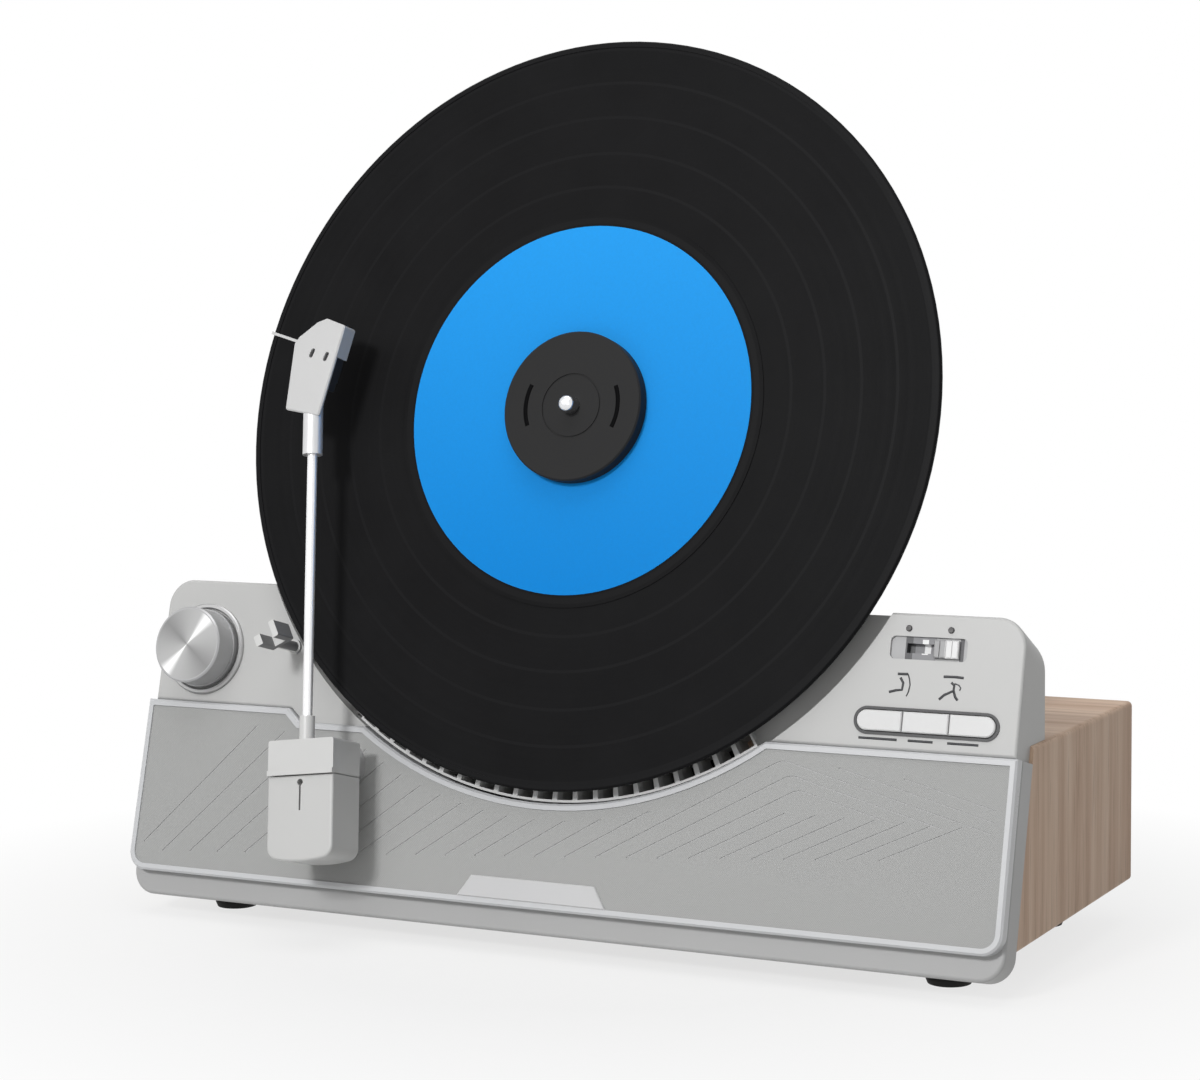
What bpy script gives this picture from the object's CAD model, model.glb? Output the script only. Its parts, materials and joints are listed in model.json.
import bpy
import bmesh
import json
from math import cos, pi, radians, sin
from mathutils import Matrix, Vector


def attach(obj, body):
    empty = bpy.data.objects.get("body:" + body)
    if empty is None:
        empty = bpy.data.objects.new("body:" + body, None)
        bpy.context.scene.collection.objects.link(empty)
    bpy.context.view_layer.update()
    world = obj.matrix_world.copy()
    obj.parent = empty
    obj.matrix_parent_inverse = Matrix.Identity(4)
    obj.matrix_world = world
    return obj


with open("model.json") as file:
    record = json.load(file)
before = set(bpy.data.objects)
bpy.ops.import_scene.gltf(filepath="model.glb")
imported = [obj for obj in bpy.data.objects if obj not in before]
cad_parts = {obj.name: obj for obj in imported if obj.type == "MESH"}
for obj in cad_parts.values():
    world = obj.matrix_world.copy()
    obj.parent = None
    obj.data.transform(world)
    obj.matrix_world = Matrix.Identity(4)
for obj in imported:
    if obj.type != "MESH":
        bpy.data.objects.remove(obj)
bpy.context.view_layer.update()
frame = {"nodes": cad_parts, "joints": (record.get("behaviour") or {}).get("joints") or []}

nodes = frame["nodes"]
print("player loaded with", len(nodes), "nodes")

# A spot on the leaning front, in millimetres: across from its middle, rise up its slope from
# its foot, and proud out of its face
lean = radians(15)
outward = Vector((0, -cos(lean), sin(lean)))
upSlope = Vector((0, sin(lean), cos(lean)))
recordRise = 205.6
spinJoint = next(joint for joint in frame["joints"] if joint["name"] == "platter_spin")
frontFoot = Vector(spinJoint["pos_m"]) - upSlope * recordRise / 1000


def spot(across, rise, proud):
    flat = Vector((across / 1000, 0, 0)) + frontFoot
    return flat + upSlope * rise / 1000 + outward * proud / 1000


def proudReach(name):
    # how far a node's farthest point stands out of the front, in millimetres
    points = [vertex.co for vertex in nodes[name].data.vertices]
    return max((point - frontFoot).dot(outward) for point in points) * 1000


# the camera stands where the photograph's did, to the right and a little above the floor
view = {
    "place": spot(518.94, 0, 0) + Vector((0, -0.94606, 0.25038)),
    "azimuth": radians(27.28),
    "elevation": radians(5.16),
    "roll": radians(-0.60),
    "lens": 85.1,
    "sensor": 36,
    "farthest": 50,
}


def placeCamera():
    turn, tip, roll = view["azimuth"], view["elevation"], view["roll"]
    ahead = Vector((-sin(turn) * cos(tip), cos(turn) * cos(tip), -sin(tip)))
    right = Vector((cos(turn), sin(turn), 0))
    up = right.cross(ahead)
    rightRolled = right * cos(roll) + up * sin(roll)
    upRolled = up * cos(roll) - right * sin(roll)
    lensData = bpy.data.cameras.new("photoCamera")
    lensData.lens = view["lens"]
    lensData.sensor_width = view["sensor"]
    lensData.sensor_fit = "HORIZONTAL"
    lensData.clip_end = view["farthest"]
    camera = bpy.data.objects.new("photoCamera", lensData)
    bpy.context.scene.collection.objects.link(camera)
    turned = Matrix((rightRolled, upRolled, -ahead)).transposed().to_4x4()
    camera.matrix_world = Matrix.Translation(view["place"]) @ turned
    bpy.context.scene.camera = camera


placeCamera()
bpy.context.scene.view_settings.view_transform = "Standard"
print("camera placed")


class Wire:
    # one socket of a material; arithmetic on it adds Math nodes
    def __init__(self, finish, socket):
        self.finish = finish
        self.socket = socket

    def maths(self, operation, *others):
        return self.finish.node("Math", {"operation": operation}, [self, *others])

    def __add__(self, other):
        return self.maths("ADD", other)

    def __sub__(self, other):
        return self.maths("SUBTRACT", other)

    def __rsub__(self, other):
        return self.finish.node("Math", {"operation": "SUBTRACT"}, [other, self])

    def __mul__(self, other):
        return self.maths("MULTIPLY", other)

    def __pow__(self, other):
        return self.maths("POWER", other)

    def __abs__(self):
        return self.maths("ABSOLUTE")

    def __gt__(self, other):
        return self.maths("GREATER_THAN", other)

    def __lt__(self, other):
        return self.maths("LESS_THAN", other)

    __radd__, __rmul__ = __add__, __mul__

    def clamped(self):
        return self.finish.node("Math", {"operation": "ADD", "use_clamp": True}, [self, 0.0])

    def waves(self, pitch):
        return (self * (2 * pi / pitch)).maths("SINE")


def spread(aside, up):
    return (aside * aside + up * up) ** 0.5


def between(wire, start, end):
    return (wire > start) * (wire < end)


def linear(red, green, blue):
    # a colour as it looks on screen, 0 to 255, for a shader socket
    def one(value):
        value /= 255
        return value / 12.92 if value <= 0.04045 else ((value + 0.055) / 1.055) ** 2.4
    return (one(red), one(green), one(blue), 1.0)


def shaded(colour, share):
    return tuple(part * share for part in colour[:3]) + (1.0,)


# where the values of one noise mostly lie, those of two added, and a share's
oneNoise = (0.3, 0.7)
twoNoises = (0.6, 1.4)
wholeShare = (0.0, 1.0)


class Finish:
    # one material with a Principled shader; node() adds any other node
    def __init__(self, name, **constants):
        self.material = bpy.data.materials.new(name)
        self.material.use_nodes = True
        self.tree = self.material.node_tree
        self.tree.nodes.clear()
        self.output = self.tree.nodes.new("ShaderNodeOutputMaterial")
        self.shader = self.tree.nodes.new("ShaderNodeBsdfPrincipled")
        self.tree.links.new(self.shader.outputs[0], self.output.inputs["Surface"])
        self.set(**constants)

    def feed(self, socket, value):
        if isinstance(value, Wire):
            self.tree.links.new(value.socket, socket)
        else:
            socket.default_value = value

    def set(self, **values):
        for key, value in values.items():
            self.feed(self.shader.inputs[key.replace("_", " ")], value)

    def node(self, kind, settings=None, inputs=None, out=0):
        made = self.tree.nodes.new("ShaderNode" + kind)
        for key, value in (settings or {}).items():
            if key == "stops":
                ramp = made.color_ramp
                while len(ramp.elements) < len(value):
                    ramp.elements.new(0.5)
                for element, (place, colour) in zip(ramp.elements, value):
                    element.position = place
                    element.color = colour
            else:
                setattr(made, key, value)
        pairs = inputs.items() if isinstance(inputs, dict) else enumerate(inputs or [])
        for key, value in pairs:
            self.feed(made.inputs[key], value)
        return Wire(self, made.outputs[out])

    def place(self):
        return self.node("TexCoord", out="Object")

    def mapped(self, vector, scale):
        return self.node("Mapping", {}, {"Vector": vector, "Scale": scale})

    def noise(self, vector, scale, detail=3.0, roughness=0.6):
        return self.node("TexNoise", {}, {
            "Vector": vector, "Scale": scale, "Detail": detail, "Roughness": roughness,
        })

    def ringNoise(self, radius, scale, detail=3.0, roughness=0.6):
        # noise that changes only with the distance from an axis
        outwards = self.node("CombineXYZ", {}, [radius * scale, 0.0, 0.0])
        return self.noise(outwards, 1.0, detail, roughness)

    def ranged(self, value, given, wanted):
        return self.node("MapRange", {}, {
            "Value": value, "From Min": given[0], "From Max": given[1],
            "To Min": wanted[0], "To Max": wanted[1],
        })

    def mixed(self, factor, first, second, blend="MIX"):
        made = self.tree.nodes.new("ShaderNodeMix")
        made.data_type = "RGBA"
        made.blend_type = blend
        self.feed(made.inputs[0], factor)
        self.feed(made.inputs[6], first)
        self.feed(made.inputs[7], second)
        return Wire(self, made.outputs[2])

    def dimmed(self, colour, share):
        # a colour times one value
        grey = self.node("CombineColor", {}, [share, share, share])
        return self.mixed(1.0, colour, grey, "MULTIPLY")

    def bump(self, height, relief, strength):
        self.set(Normal=self.node("Bump", {}, {
            "Height": height, "Distance": relief, "Strength": strength,
        }))

    def split(self, vector):
        made = self.tree.nodes.new("ShaderNodeSeparateXYZ")
        self.feed(made.inputs[0], vector)
        return [Wire(self, made.outputs[index]) for index in range(3)]

    def offAxis(self, across, rise):
        # how far aside of and above an axis square to the front a point is, in metres
        x, y, z = self.split(self.place())
        middle = spot(across, rise, 0)
        return x - middle.x, (y - middle.y) * upSlope.y + (z - middle.z) * upSlope.z

    def dressed(self, *names):
        for name in names:
            piece = nodes[name] if isinstance(name, str) else name
            if not piece.data.materials:
                piece.data.materials.append(self.material)
            for slot in piece.material_slots:
                slot.material = self.material


plasticLook = {
    "grain": 1500,
    "relief": 0.00002,
    "rough": (0.38, 0.5),
    "blotches": 18.0,
    "mottle": 0.03,
}


def mouldedPlastic(name, colour, grain=plasticLook["grain"], relief=plasticLook["relief"],
                   rough=plasticLook["rough"], **more):
    finish = Finish(name, **more)
    place = finish.place()
    fine = finish.noise(place, grain)
    broad = finish.noise(place, plasticLook["blotches"], roughness=0.5)
    mottle = plasticLook["mottle"]
    share = finish.ranged(broad, oneNoise, (1 - mottle, 1 + mottle / 3))
    finish.set(Base_Color=finish.dimmed(linear(*colour), share))
    finish.set(Roughness=finish.ranged(fine + broad, twoNoises, rough))
    finish.bump(fine, relief, strength=0.6)
    return finish


grilleLook = {
    "pitch": 0.0009,
    "relief": 0.00006,
    "patches": 9.0,
    "patchShare": 1.5,
    "threads": (linear(153, 154, 153), linear(163, 163, 162)),
    "grooveFloor": linear(184, 184, 184),
    "grooveFrom": 0.12,
    "rough": (0.62, 0.5),
}


def grillePanel():
    # a pressed weave, with the floors of the slanted grooves paler
    finish = Finish("grillePanel", Specular_IOR_Level=0.35)
    place = finish.place()
    x, y, z = finish.split(place)
    up = y * upSlope.y + z * upSlope.z
    weave = x.waves(grilleLook["pitch"]) * up.waves(grilleLook["pitch"])
    patches = finish.noise(place, grilleLook["patches"], roughness=0.5) - 0.5
    light = finish.ranged(weave + patches * grilleLook["patchShare"], (-1.4, 1.4), wholeShare)
    colour = finish.mixed(light, *grilleLook["threads"])
    floor = spot(0, 0, proudReach("grille_mesh") - grilleLook["grooveFrom"])
    proud = (y - floor.y) * outward.y + (z - floor.z) * outward.z
    finish.set(Base_Color=finish.mixed(proud < 0.0, colour, grilleLook["grooveFloor"]))
    finish.set(Roughness=finish.ranged(weave, (-1.0, 1.0), grilleLook["rough"]))
    finish.bump(weave, grilleLook["relief"], strength=0.5)
    return finish


woodLook = {
    "tones": ((0.3, (159, 132, 112)), (0.46, (179, 152, 131)),
              (0.56, (186, 160, 138)), (0.72, (195, 170, 148))),
    "pore": (136, 112, 95),
    "poreShare": 0.4,
    "poreScale": 7,
    "poreSpan": (0.34, 0.44),
    "waves": (4.0, 14.0),
    "waveReach": 2.4,
    "rough": (0.58, 0.42),
    "relief": 0.00008,
}


def caseWood(name, stretch, shade):
    # stretch is along x, y and z, and its smallest number runs with the grain
    def toned(colour):
        return linear(*(part * shade for part in colour))

    finish = Finish(name, Specular_IOR_Level=0.2)
    place = finish.place()
    along, across = woodLook["waves"]
    waves = tuple(along if size == min(stretch) else across for size in stretch)
    drift = finish.noise(finish.mapped(place, waves), 1.0, 2.0, 0.5) * woodLook["waveReach"]
    shifted = finish.node("VectorMath", {"operation": "ADD"}, [
        finish.mapped(place, stretch),
        finish.node("CombineXYZ", {}, [drift, drift, drift]),
    ])
    streak = finish.noise(shifted, 1.0, 5.0, 0.62)
    poreStretch = tuple(size * woodLook["poreScale"] for size in stretch)
    pores = finish.noise(finish.mapped(place, poreStretch), 1.0)
    stops = [(level, toned(colour)) for level, colour in woodLook["tones"]]
    tone = finish.node("ValToRGB", {"stops": stops}, [streak])
    poreMask = finish.ranged(pores, woodLook["poreSpan"], (1.0, 0.0)).clamped()
    poreTone = toned(woodLook["pore"])
    finish.set(Base_Color=finish.mixed(poreMask * woodLook["poreShare"], tone, poreTone))
    finish.set(Roughness=finish.ranged(streak, oneNoise, woodLook["rough"]))
    finish.bump(streak * 0.6 - poreMask, woodLook["relief"], strength=0.5)
    return finish


# gaps are the plain rings between tracks, as radius and half width in metres
recordLook = {
    "groovePitch": 0.00042,
    "relief": 0.00002,
    "gaps": ((0.0765, 0.0012), (0.0905, 0.0006), (0.1043, 0.0006),
             (0.1192, 0.0006), (0.1335, 0.0006), (0.1484, 0.0014)),
    "passages": 420,
    "dust": 34.0,
    "deep": linear(17, 17, 18),
    "worn": linear(22, 22, 23),
    "gapShade": linear(24, 24, 25),
    "rough": (0.34, 0.52),
}


def recordVinyl():
    finish = Finish("recordVinyl", Specular_IOR_Level=0.045)
    radius = spread(*finish.offAxis(0, recordRise))
    grooves = radius.waves(recordLook["groovePitch"])
    # loud and quiet passages cut wider and narrower grooves, in rings
    wander = finish.ringNoise(radius, recordLook["passages"])
    loud = finish.ranged(wander, (0.35, 0.65), (0.4, 1.0))
    bands = [abs(radius - ring) < wide for ring, wide in recordLook["gaps"]]
    gaps = sum(bands[1:], bands[0]).clamped()
    dust = finish.noise(finish.place(), recordLook["dust"], roughness=0.55)
    wear = finish.ranged(dust + loud * 0.3, (0.45, 1.0), wholeShare)
    pressed = finish.mixed(wear, recordLook["deep"], recordLook["worn"])
    finish.set(Base_Color=finish.mixed(gaps, pressed, recordLook["gapShade"]))
    finish.set(Roughness=finish.ranged(loud - gaps * 0.5, (-0.5, 1.0), recordLook["rough"]))
    finish.bump(grooves * (1 - gaps) * loud, recordLook["relief"], strength=0.5)
    return finish


labelLook = {
    "low": linear(3, 126, 205),
    "high": linear(32, 150, 229),
    "radius": 0.075,
    "fibres": 900.0,
    "ring": 0.0155,
    "ringHalf": 0.0005,
    "rough": (0.5, 0.62),
    "relief": 0.00006,
}


def labelPaper():
    # blue paper, paler to the top, with a pressed ring round its hole
    finish = Finish("labelPaper", Specular_IOR_Level=0.1)
    aside, up = finish.offAxis(0, recordRise)
    fade = finish.ranged(up, (-labelLook["radius"], labelLook["radius"]), wholeShare)
    ink = finish.mixed(fade, labelLook["low"], labelLook["high"])
    fibres = finish.noise(finish.place(), labelLook["fibres"], 4.0, 0.65)
    finish.set(Base_Color=finish.dimmed(ink, finish.ranged(fibres, oneNoise, (0.96, 1.02))))
    finish.set(Roughness=finish.ranged(fibres, oneNoise, labelLook["rough"]))
    ring = abs(spread(aside, up) - labelLook["ring"]) < labelLook["ringHalf"]
    finish.bump(fibres * 0.2 - ring, labelLook["relief"], strength=0.6)
    return finish


turnedLook = {
    "uneven": 5200,
    "darkest": 0.86,
    "relief": 0.00002,
}


def turnedMetal(name, colour, across, rise, pitch=0.0003, rough=(0.26, 0.36)):
    # rings cut by a lathe about an axis square to the front
    finish = Finish(name, Metallic=1.0)
    radius = spread(*finish.offAxis(across, rise))
    uneven = finish.ringNoise(radius, turnedLook["uneven"])
    bright = linear(*colour)
    finish.set(Base_Color=finish.mixed(uneven, shaded(bright, turnedLook["darkest"]), bright))
    finish.set(Roughness=finish.ranged(uneven, oneNoise, rough))
    finish.bump(radius.waves(pitch) * 0.5 + uneven, turnedLook["relief"], strength=0.6)
    return finish


knobLook = {
    "across": -167.3,
    "rise": 103,
    "faceRadius": 0.0147,
    "pitch": 0.00034,
    "uneven": 4200,
    "relief": 0.000012,
    "fanTurn": radians(52),
    "fanSpan": (0.955, 0.998),
    "dark": linear(130, 130, 130),
    "pale": linear(182, 182, 182),
    "bright": linear(250, 250, 250),
    "side": linear(172, 172, 173),
    "rough": (0.3, 0.42),
}


def knobAluminium():
    # a spun face whose fine rings fan out into two pale wedges, on a plain turned side
    finish = Finish("knobAluminium", Metallic=0.55, Specular_IOR_Level=0.4)
    aside, up = finish.offAxis(knobLook["across"], knobLook["rise"])
    radius = spread(aside, up)
    uneven = finish.ringNoise(radius, knobLook["uneven"])
    turn = up.maths("ARCTAN2", aside) - knobLook["fanTurn"]
    fan = abs(turn.maths("COSINE"))
    wedge = finish.ranged(fan, knobLook["fanSpan"], wholeShare).clamped()
    face = finish.mixed(fan * 0.8 + uneven * 0.2, knobLook["dark"], knobLook["pale"])
    face = finish.mixed(wedge * wedge * 0.9, face, knobLook["bright"])
    onFace = radius < knobLook["faceRadius"]
    finish.set(Base_Color=finish.mixed(onFace, knobLook["side"], face))
    finish.set(Roughness=finish.ranged(uneven, oneNoise, knobLook["rough"]))
    finish.bump(radius.waves(knobLook["pitch"]) * 0.5 + uneven, knobLook["relief"], strength=0.5)
    return finish


puckLook = {
    "face": linear(36, 36, 37),
    "swirl": linear(43, 43, 43),
    "swirlScale": 900,
    "grain": 1500.0,
    "rough": (0.42, 0.55),
    "relief": 0.00002,
}


def puckPlastic():
    # satin, with faint rings from its mould
    finish = Finish("puckPlastic", Specular_IOR_Level=0.08)
    radius = spread(*finish.offAxis(0, recordRise))
    fine = finish.noise(finish.place(), puckLook["grain"])
    swirl = finish.ringNoise(radius, puckLook["swirlScale"], 2.0, 0.5)
    tone = finish.mixed(fine * 0.5 + swirl * 0.5, puckLook["face"], puckLook["swirl"])
    finish.set(Base_Color=tone)
    finish.set(Roughness=finish.ranged(fine + swirl, twoNoises, puckLook["rough"]))
    finish.bump(fine + swirl * 0.6, puckLook["relief"], strength=0.5)
    return finish


brushedLook = {
    "darkest": 0.85,
    "relief": 0.00001,
}


def brushedMetal(name, colour, stretch=(900, 60, 60), rough=(0.28, 0.42), metallic=1.0):
    # stretch is along x, y and z: the strokes run along the small numbers
    finish = Finish(name, Metallic=metallic)
    strokes = finish.noise(finish.mapped(finish.place(), stretch), 1.0, detail=4.0)
    bright = linear(*colour)
    finish.set(Base_Color=finish.mixed(strokes, shaded(bright, brushedLook["darkest"]), bright))
    finish.set(Roughness=finish.ranged(strokes, oneNoise, rough))
    finish.bump(strokes, brushedLook["relief"], strength=0.4)
    return finish


restLook = {
    "white": (linear(198, 198, 197), linear(208, 208, 207)),
    "rubber": (linear(116, 116, 117), linear(136, 136, 137)),
    "flankFrom": 0.45,
    "grain": 1900.0,
    "rough": (0.34, 0.62),
    "relief": 0.00002,
}


def restTwoTone():
    # white plastic with rubbered flanks, where the tube would knock
    finish = Finish("restTwoTone", Specular_IOR_Level=0.3)
    fine = finish.noise(finish.place(), restLook["grain"])
    facing = finish.split(finish.node("NewGeometry", out="Normal"))
    flank = facing[0] > restLook["flankFrom"]
    white = finish.mixed(fine, *restLook["white"])
    rubber = finish.mixed(fine, *restLook["rubber"])
    finish.set(Base_Color=finish.mixed(flank, white, rubber))
    finish.set(Roughness=finish.ranged(fine + flank * 0.5, (0.3, 1.2), restLook["rough"]))
    finish.bump(fine, restLook["relief"], strength=0.4)
    return finish


# strips in the slider's slot, in millimetres across the front
slotLook = {
    "proud": 1.4,
    "bars": ((142.4, 145.2), (163.6, 165.2)),
    "field": (145.2, 154.4),
    "tab": (148.9, 151.3),
    "tabRise": (116.8, 122.4),
    "bed": linear(164, 164, 165),
    "fieldShade": linear(122, 122, 125),
    "barShade": linear(66, 66, 69),
    "tabShade": linear(232, 232, 232),
    "capFrom": 158.4,
    "capGrey": (linear(142, 142, 143), linear(152, 152, 153)),
    "capWhite": (linear(212, 212, 212), linear(220, 220, 220)),
    "bedRough": (0.38, 0.5),
    "capRough": (0.3, 0.42),
    "grain": 1600.0,
    "relief": 0.00002,
}


def slotGrain(finish, rough):
    fine = finish.noise(finish.place(), slotLook["grain"])
    finish.set(Roughness=finish.ranged(fine, oneNoise, rough))
    finish.bump(fine, slotLook["relief"], strength=0.5)
    return fine


def sliderBed():
    # the bed's printed strips, which run on down into the stem's groove
    finish = Finish("sliderBed")
    slotGrain(finish, slotLook["bedRough"])
    parts = finish.split(finish.place())
    across, height = parts[0] * 1000, parts[2]
    low, high = (spot(0, rise, slotLook["proud"]).z for rise in slotLook["tabRise"])
    field = between(across, *slotLook["field"])
    left, right = (between(across, *bar) for bar in slotLook["bars"])
    tab = between(across, *slotLook["tab"]) * between(height, low, high)
    colour = finish.mixed(field, slotLook["bed"], slotLook["fieldShade"])
    colour = finish.mixed(left + right, colour, slotLook["barShade"])
    finish.set(Base_Color=finish.mixed(tab, colour, slotLook["tabShade"]))
    return finish


def sliderCap():
    # the finger end is white, the rest of the slider grey
    finish = Finish("sliderCap")
    fine = slotGrain(finish, slotLook["capRough"])
    across = finish.split(finish.place())[0] * 1000
    grey = finish.mixed(fine, *slotLook["capGrey"])
    white = finish.mixed(fine, *slotLook["capWhite"])
    finish.set(Base_Color=finish.mixed(across > slotLook["capFrom"], grey, white))
    return finish


def lampLens():
    finish = Finish("lampLens", Coat_Weight=0.5, Coat_Roughness=0.1)
    core = finish.noise(finish.place(), 700.0, 2.0, 0.5)
    finish.set(Base_Color=finish.mixed(core, linear(18, 16, 17), linear(30, 24, 25)))
    finish.set(Roughness=finish.ranged(core, oneNoise, (0.2, 0.32)))
    finish.bump(core, 0.00001, strength=0.3)
    return finish


boardLook = {
    "cells": 260.0,
    "trackFrom": 0.52,
    "lacquer": linear(20, 74, 42),
    "track": linear(44, 108, 62),
}


def circuitLacquer():
    finish = Finish("circuitLacquer", Coat_Weight=0.4, Coat_Roughness=0.2)
    cells = finish.node("TexVoronoi", {"distance": "CHEBYCHEV"}, {
        "Vector": finish.place(), "Scale": boardLook["cells"],
    })
    tracks = cells > boardLook["trackFrom"]
    finish.set(Base_Color=finish.mixed(tracks, boardLook["lacquer"], boardLook["track"]))
    finish.set(Roughness=finish.ranged(cells, wholeShare, (0.3, 0.45)))
    finish.bump(tracks, 0.00003, strength=0.4)
    return finish


rubberLook = {
    "dust": 320.0,
    "dustShade": linear(74, 73, 71),
    "dustShare": (0.0, 0.35),
    "relief": 0.00004,
}


def softRubber(name, colour, rough=(0.62, 0.8)):
    finish = Finish(name, Specular_IOR_Level=0.3)
    dust = finish.noise(finish.place(), rubberLook["dust"], 5.0, 0.62)
    share = finish.ranged(dust, (0.45, 0.8), rubberLook["dustShare"])
    finish.set(Base_Color=finish.mixed(share, linear(*colour), rubberLook["dustShade"]))
    finish.set(Roughness=finish.ranged(dust, oneNoise, rough))
    finish.bump(dust, rubberLook["relief"], strength=0.5)
    return finish


def dressCase():
    mouldedPlastic("shellPlastic", (184, 184, 183)).dressed("control_housing")
    mouldedPlastic("fasciaPlastic", (169, 169, 169)).dressed("front_fascia")
    mouldedPlastic("towerPlastic", (188, 188, 188), grain=1100).dressed(
        "tower_shell", "tower_cover")
    mouldedPlastic("grilleRim", (195, 196, 198), rough=(0.26, 0.36)).dressed("grille_frame")
    grillePanel().dressed("grille_mesh")
    mouldedPlastic("badgePlastic", (193, 193, 194), rough=(0.3, 0.4)).dressed("badge_plate")
    mouldedPlastic("ladderPlastic", (206, 206, 206)).dressed("scoop_ladder")
    caseWood("woodAlongTop", (3.2, 90, 90), 1.1).dressed("cabinet_top", "cabinet_base")
    caseWood("woodUpSides", (90, 90, 3.2), 1.1).dressed("cabinet_side_left", "cabinet_side_right")
    caseWood("blockWood", (8, 120, 120), 0.95).dressed("corner_blocks")
    mouldedPlastic("backPanel", (46, 46, 48), grain=900, relief=0.00005).dressed("rear_panel")
    softRubber("footRubber", (22, 22, 22)).dressed("feet")
    brushedMetal("screwSteel", (150, 150, 152), (700, 700, 90)).dressed(
        "panel_screws", "tower_screws", "board_screws", "turret_nut", "pivot_screw")


pulleyDrop = 46  # millimetres down the slope from the record's axis


def dressTurntable():
    recordVinyl().dressed("record")
    labelPaper().dressed("record_label")
    puckPlastic().dressed("clamp_puck")
    turnedMetal("spindleSteel", (238, 239, 241), 0, recordRise, rough=(0.1, 0.18)).dressed(
        "spindle")
    turnedMetal("platterMetal", (176, 177, 180), 0, recordRise, pitch=0.0008).dressed("platter")
    softRubber("matRubber", (30, 30, 30)).dressed("platter_mat")
    softRubber("beltRubber", (26, 26, 26), (0.5, 0.62)).dressed("drive_belt")
    brushedMetal("bushBronze", (190, 150, 96)).dressed("bearing_bush")
    turnedMetal("pulleyBrass", (205, 178, 112), 0, recordRise - pulleyDrop).dressed("motor_pulley")
    brushedMetal("motorSteel", (168, 168, 170)).dressed(
        "motor", "volume_pot", "pot_shaft", "lift_axle")


def dressControls():
    knobAluminium().dressed("volume_knob")
    turnedMetal("trimAluminium", (182, 182, 182), knobLook["across"], knobLook["rise"],
                pitch=0.0006, rough=(0.36, 0.46)).dressed("knob_trim")
    mouldedPlastic("buttonPlastic", (208, 208, 208), rough=(0.32, 0.42)).dressed(
        "button_left", "button_middle", "button_right")
    mouldedPlastic("bezelPlastic", (44, 44, 46)).dressed("button_bezel")
    circuitLacquer().dressed("button_board", "main_board")
    mouldedPlastic("switchPlastic", (40, 40, 41)).dressed("button_switches")
    sliderBed().dressed("slider_body")
    sliderCap().dressed("slider_knob")
    lampLens().dressed("lamps")


def dressArm():
    # sprayed paint has a finer and flatter grain than the mouldings
    paint = {"grain": 2200, "relief": 0.00001}
    mouldedPlastic("armPaint", (198, 198, 197), rough=(0.28, 0.36), **paint).dressed(
        "arm_yoke", "arm_block")
    restTwoTone().dressed("arm_rest")
    mouldedPlastic("shellPaint", (196, 196, 196), rough=(0.26, 0.34), **paint).dressed(
        "headshell")
    mouldedPlastic("weightPaint", (190, 190, 189), rough=(0.32, 0.4), **paint).dressed(
        "counterweight")
    brushedMetal("tubeAluminium", (250, 250, 251), (300, 300, 20), (0.2, 0.28), 0.5).dressed(
        "arm_tube")
    brushedMetal("neckAluminium", (222, 222, 223), (300, 300, 20), (0.3, 0.38), 0.5).dressed(
        "arm_neck")
    brushedMetal("turretAluminium", (206, 206, 207), (500, 40, 40), (0.3, 0.4), 0.6).dressed(
        "arm_turret")
    mouldedPlastic("cartridgePlastic", (48, 48, 50), rough=(0.3, 0.4)).dressed("cartridge")
    mouldedPlastic("stylusPlastic", (176, 52, 40), rough=(0.2, 0.3)).dressed("stylus")


def dressBack():
    brushedMetal("speakerSteel", (58, 58, 60), (200, 200, 200), (0.4, 0.5)).dressed(
        "speaker_frames")
    softRubber("conePaper", (48, 47, 45)).dressed("speaker_cones")
    brushedMetal("socketMetal", (212, 208, 196), (400, 40, 400), (0.18, 0.26)).dressed(
        "phono_sockets")
    mouldedPlastic("socketPlastic", (36, 36, 37)).dressed("mini_socket", "power_socket")


dressCase()
dressTurntable()
dressControls()
dressArm()
dressBack()
print("finishes on", len(bpy.data.materials), "materials")


def seated(name, data, body, finish):
    # a piece at the origin, with its place in its mesh, that rides on a body
    piece = bpy.data.objects.new(name, data)
    bpy.context.scene.collection.objects.link(piece)
    finish.dressed(piece)
    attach(piece, body)


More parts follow.
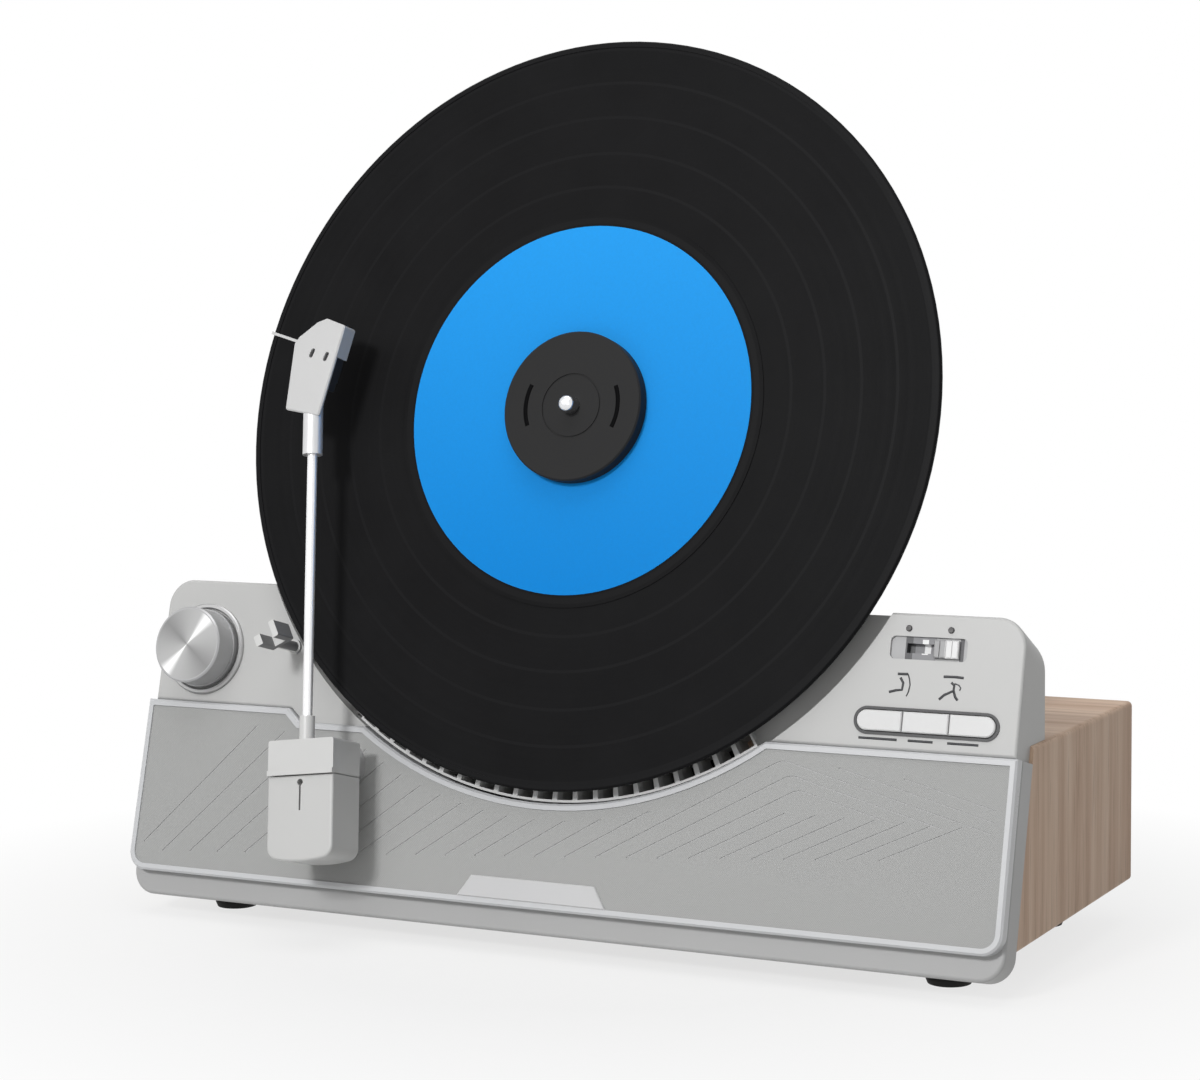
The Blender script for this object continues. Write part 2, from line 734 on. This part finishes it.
class GrowTree:
    # a Geometry Nodes tree with named inputs; what it grows on a seed mesh becomes a plain piece
    def __init__(self, name, **inputs):
        self.tree = bpy.data.node_groups.new(name, "GeometryNodeTree")
        face = self.tree.interface
        face.new_socket("Geometry", in_out="INPUT", socket_type="NodeSocketGeometry")
        self.keys = {}
        for label, kind in inputs.items():
            socket = face.new_socket(label, in_out="INPUT", socket_type="NodeSocket" + kind)
            self.keys[label] = socket.identifier
        face.new_socket("Geometry", in_out="OUTPUT", socket_type="NodeSocketGeometry")
        self.start = self.tree.nodes.new("NodeGroupInput")
        self.seed = self.start.outputs["Geometry"]

    def given(self, label):
        return self.start.outputs[label]

    def add(self, kind, settings=None, inputs=None, out=0):
        # a list feeds a socket that takes several links
        made = self.tree.nodes.new(kind)
        for key, value in (settings or {}).items():
            setattr(made, key, value)
        for key, value in (inputs or {}).items():
            for one in value if isinstance(value, list) else [value]:
                if isinstance(one, bpy.types.NodeSocket):
                    self.tree.links.new(one, made.inputs[key])
                else:
                    made.inputs[key].default_value = one
        return made.outputs[out]

    def close(self, shape):
        plain = self.add("GeometryNodeRealizeInstances", {}, {"Geometry": shape})
        painted = self.add("GeometryNodeSetMaterial", {}, {
            "Geometry": plain, "Material": self.given("Finish")})
        end = self.tree.nodes.new("NodeGroupOutput")
        self.tree.links.new(painted, end.inputs[0])
        return self

    def grow(self, name, seedMesh, body, slot, finish, **values):
        carrier = bpy.data.objects.new(name + "Seed", seedMesh)
        bpy.context.scene.collection.objects.link(carrier)
        grower = carrier.modifiers.new("grow", "NODES")
        grower.node_group = self.tree
        for label, value in values.items():
            grower[self.keys[label]] = value
        grower[self.keys["Finish"]] = finish.material
        ready = carrier.evaluated_get(bpy.context.evaluated_depsgraph_get())
        data = bpy.data.meshes.new_from_object(ready)
        carrier.modifiers.remove(grower)
        bpy.data.objects.remove(carrier)
        data.name = name
        shape = bmesh.new()
        shape.from_mesh(data)
        bmesh.ops.recalc_face_normals(shape, faces=shape.faces)
        shape.to_mesh(data)
        shape.free()
        seated(name, data, body, finish)


def pointMesh(name, points, edges=()):
    data = bpy.data.meshes.new(name)
    data.from_pydata([tuple(point) for point in points], list(edges), [])
    return data


def penTree():
    # strokes drawn flat along edges, then laid on the leaning front
    tree = GrowTree("penStrokes", Wide="Float", Tall="Float", Lean="Vector", Place="Vector",
                    Finish="Material")
    lines = tree.add("GeometryNodeMeshToCurve", {}, {"Mesh": tree.seed})
    nib = tree.add("GeometryNodeCurvePrimitiveQuadrilateral", {"mode": "RECTANGLE"}, {
        "Width": tree.given("Wide"), "Height": tree.given("Tall")})
    inked = tree.add("GeometryNodeCurveToMesh", {}, {
        "Curve": lines, "Profile Curve": nib, "Fill Caps": True})
    laid = tree.add("GeometryNodeTransform", {}, {
        "Geometry": inked, "Rotation": tree.given("Lean"), "Translation": tree.given("Place")})
    return tree.close(laid)


# printed marks, in millimetres: an icon's lines count from its own middle and rise
markLook = {
    "proud": 2.5,
    "tall": 0.12,
    "ink": (44, 45, 48),
    "dashWide": 0.9,
    "dashRise": 84.7,
    "dashes": ((127.6, 142.7), (147.0, 156.7), (162.3, 174.3)),
    "lineWide": 0.95,
    "thinWide": 0.5,
    "icons": ({
        "middle": 143.7,
        "rise": 109.6,
        "lines": (((-3.0, -0.5), (1.1, -0.4)),
                  ((-1.8, -1.8), (-0.5, -3.8), (-0.8, -6.3), (-3.0, -6.6), (-5.8, -7.4))),
        "thinLines": (((1.1, -0.4), (1.8, -2.3), (2.2, -4.4), (1.8, -7.0), (1.1, -8.6)),),
    }, {
        "middle": 163.2,
        "rise": 109.4,
        "lines": (((-4.6, -0.4), (-0.2, -0.3), (3.2, -0.5)),
                  ((-1.4, -2.4), (-0.2, -3.4), (-0.3, -5.4), (-3.7, -7.1), (-5.6, -8.9)),
                  ((-0.3, -5.4), (0.6, -7.7), (1.6, -8.8))),
        "thinLines": (((-0.2, -2.7), (1.5, -3.2), (2.4, -4.2), (2.0, -5.2)),),
    }),
}
inkFinish = mouldedPlastic("markInk", markLook["ink"], rough=(0.45, 0.55))
strokes = penTree()


def drawn(name, runs, wide, proud=markLook["proud"], body="player", slot="bezel_plastic",
          finish=inkFinish):
    # runs are lines of (across, rise) points
    points, edges = [], []
    for run in runs:
        for index, (across, rise) in enumerate(run):
            if index:
                edges.append((len(points) - 1, len(points)))
            points.append((across / 1000, rise / 1000, 0))
    strokes.grow(
        name, pointMesh(name + "Lines", points, edges), body, slot, finish,
        Wide=wide / 1000, Tall=markLook["tall"] / 1000, Lean=(pi / 2 - lean, 0.0, 0.0),
        Place=tuple(spot(0, 0, proud)))


def iconRuns(kind):
    return [[(icon["middle"] + across, icon["rise"] + rise) for across, rise in run]
            for icon in markLook["icons"] for run in icon[kind]]


dashRuns = [[(end, markLook["dashRise"]) for end in dash] for dash in markLook["dashes"]]
drawn("buttonDashes", dashRuns, markLook["dashWide"])
drawn("armIcons", iconRuns("lines"), markLook["lineWide"])
drawn("armIconLines", iconRuns("thinLines"), markLook["thinWide"])
print("marks on the housing drawn")


gripLook = {
    "radius": 20.3,
    "wide": 1.8,
    "half": radians(24),
    "steps": 16,
    "sunk": 0.02,
    "shade": (6, 6, 7),
    "rough": (0.6, 0.7),
}


def gripArc(middle):
    radius, steps = gripLook["radius"], gripLook["steps"]
    turns = [middle + gripLook["half"] * (2 * step / steps - 1) for step in range(steps + 1)]
    return [(radius * cos(turn), recordRise + radius * sin(turn)) for turn in turns]


gripShade = mouldedPlastic("gripShade", gripLook["shade"], rough=gripLook["rough"],
                           Specular_IOR_Level=0.04)
drawn("puckGrips", [gripArc(0), gripArc(pi)], gripLook["wide"],
      proudReach("clamp_puck") - gripLook["sunk"], "puck", "puck_plastic", gripShade)
print("grips laid in the puck")


screwLook = {
    "long": 0.0034,
    "wide": 0.0008,
    "deep": 0.00012,
    "seed": 5,
    "shade": (34, 34, 35),
    "headDeep": 0.0003,
    "headWide": 0.008,
    "facing": {
        "panel_screws": Vector((0, 1, 0)),
        "tower_screws": -outward,
        "board_screws": -outward,
    },
}


def crossTree():
    # a driver's cross on each point, square to Facing and turned by chance
    tree = GrowTree("screwCrosses", Long="Float", Wide="Float", Deep="Float", Facing="Vector",
                    Seed="Int", Finish="Material")
    bars = []
    for first, second in (("Long", "Wide"), ("Wide", "Long")):
        size = tree.add("ShaderNodeCombineXYZ", {}, {
            "X": tree.given(first), "Y": tree.given(second), "Z": tree.given("Deep")})
        bars.append(tree.add("GeometryNodeMeshCube", {}, {"Size": size}))
    cross = tree.add("GeometryNodeJoinGeometry", {}, {"Geometry": bars})
    chance = tree.add("FunctionNodeRandomValue", {"data_type": "FLOAT"}, {
        "Seed": tree.given("Seed")}, out=1)
    facing = tree.add("FunctionNodeAlignRotationToVector", {"axis": "Z"}, {
        "Vector": tree.given("Facing")})
    spin = tree.add("FunctionNodeAxisAngleToRotation", {}, {
        "Axis": (0.0, 0.0, 1.0), "Angle": chance})
    turned = tree.add("FunctionNodeRotateRotation", {"rotation_space": "LOCAL"}, {
        "Rotation": facing, "Rotate By": spin})
    placed = tree.add("GeometryNodeInstanceOnPoints", {}, {
        "Points": tree.seed, "Instance": cross, "Rotation": turned})
    return tree.close(placed)


def headCentres(name, facing):
    # the middle of each screw's head: its farthest points along facing, gathered by screw
    cloud = [vertex.co.copy() for vertex in nodes[name].data.vertices]
    reach = max(point.dot(facing) for point in cloud)
    heads = []
    for point in cloud:
        if reach - point.dot(facing) > screwLook["headDeep"]:
            continue
        for head in heads:
            if (head[0] - point).length < screwLook["headWide"]:
                head.append(point)
                break
        else:
            heads.append([point])
    centres = []
    for head in heads:
        once = {tuple(round(part, 6) for part in point): point for point in head}
        centres.append(sum(once.values(), Vector()) / len(once))
    return centres


crosses = crossTree()
recessFinish = mouldedPlastic("screwRecess", screwLook["shade"], rough=(0.5, 0.6))
for screws, facing in screwLook["facing"].items():
    centres = headCentres(screws, facing)
    print(screws, "heads", len(centres))
    crosses.grow(
        screws + "Crosses", pointMesh(screws + "Heads", centres),
        "player", "screw_steel", recessFinish,
        Long=screwLook["long"], Wide=screwLook["wide"], Deep=screwLook["deep"],
        Facing=tuple(facing), Seed=screwLook["seed"])
print("screw heads crossed")


# the floor goes over to white from near to far, and keeps the shadow near the player
floorLook = {
    "reach": 8.0,
    "near": 0.14,
    "far": 0.36,
    "nearGlow": 0.71,
    "paper": (linear(208, 208, 207), linear(212, 212, 211)),
    "paperScale": 60.0,
}


def makeFloor():
    reach = floorLook["reach"]
    data = bpy.data.meshes.new("studioFloor")
    corners = [(u * reach, v * reach, 0) for u, v in ((-1, -1), (1, -1), (1, 1), (-1, 1))]
    data.from_pydata(corners, [], [(0, 1, 2, 3)])
    floor = bpy.data.objects.new("studioFloor", data)
    bpy.context.scene.collection.objects.link(floor)
    finish = Finish("floorWhite", Roughness=0.9, Specular_IOR_Level=0.1)
    place = finish.place()
    away = spread(*finish.split(place)[:2])
    paper = finish.noise(place, floorLook["paperScale"], roughness=0.5)
    finish.set(Base_Color=finish.mixed(paper, *floorLook["paper"]))
    glow = finish.node("Emission", {}, {"Color": (1, 1, 1, 1), "Strength": 1.0})
    rays = finish.tree.nodes.new("ShaderNodeLightPath")
    kinds = ("Is Camera Ray", "Is Glossy Ray", "Is Transmission Ray")
    camera, glossy, through = (Wire(finish, rays.outputs[kind]) for kind in kinds)
    seen = (camera + glossy + through).clamped()
    span = (floorLook["near"], floorLook["far"])
    fade = finish.ranged(away, span, (floorLook["nearGlow"], 1.0)).clamped() * seen
    blended = finish.tree.nodes.new("ShaderNodeMixShader")
    finish.feed(blended.inputs[0], fade)
    finish.tree.links.new(finish.shader.outputs[0], blended.inputs[1])
    finish.tree.links.new(glow.socket, blended.inputs[2])
    finish.tree.links.new(blended.outputs[0], finish.output.inputs["Surface"])
    finish.dressed(floor)


def makeWorld(level):
    # white to the camera, to mirrors and to glass, and dim light on the player
    world = bpy.data.worlds.new("studioWorld")
    bpy.context.scene.world = world
    world.use_nodes = True
    tree = world.node_tree
    tree.nodes.clear()
    output = tree.nodes.new("ShaderNodeOutputWorld")
    skies = []
    for strength in (level, 1.0):
        sky = tree.nodes.new("ShaderNodeBackground")
        sky.inputs["Color"].default_value = (1, 1, 1, 1)
        sky.inputs["Strength"].default_value = strength
        skies.append(sky.outputs[0])
    rays = tree.nodes.new("ShaderNodeLightPath")
    seen = rays.outputs["Is Camera Ray"]
    for kind in ("Is Glossy Ray", "Is Transmission Ray"):
        both = tree.nodes.new("ShaderNodeMath")
        both.operation = "MAXIMUM"
        tree.links.new(seen, both.inputs[0])
        tree.links.new(rays.outputs[kind], both.inputs[1])
        seen = both.outputs[0]
    blended = tree.nodes.new("ShaderNodeMixShader")
    for index, source in enumerate([seen, *skies]):
        tree.links.new(source, blended.inputs[index])
    tree.links.new(blended.outputs[0], output.inputs["Surface"])


# a lamp's azimuth counts from the front, to the player's right, and every lamp looks at the aim
studioLook = {
    "world": 0.22,
    "aim": Vector((0, 0, 0.14)),
    "lamps": {
        "key": {"azimuth": -6, "elevation": 28, "away": 2.4, "size": (0.34, 0.34), "power": 28},
        "wash": {"azimuth": -8, "elevation": 34, "away": 2.4, "size": (1.7, 1.3), "power": 6},
        "top": {"azimuth": 10, "elevation": 80, "away": 2.1, "size": (1.6, 1.2), "power": 17},
        "fill": {"azimuth": 22, "elevation": 12, "away": 2.4, "size": (1.0, 0.8), "power": 3},
    },
}


def softLamp(name, azimuth, elevation, away, size, power):
    lampData = bpy.data.lights.new(name, "AREA")
    lampData.shape = "RECTANGLE"
    lampData.size, lampData.size_y = size
    lampData.energy = power
    lamp = bpy.data.objects.new(name, lampData)
    bpy.context.scene.collection.objects.link(lamp)
    aim = studioLook["aim"]
    turn, climb = radians(azimuth), radians(elevation)
    ray = Vector((sin(turn) * cos(climb), -cos(turn) * cos(climb), sin(climb)))
    lamp.location = aim + away * ray
    lamp.rotation_euler = (aim - lamp.location).to_track_quat("-Z", "Y").to_euler()


makeFloor()
makeWorld(studioLook["world"])
for lampName, lampValues in studioLook["lamps"].items():
    softLamp(lampName + "Lamp", **lampValues)
print("floor and lamps made")
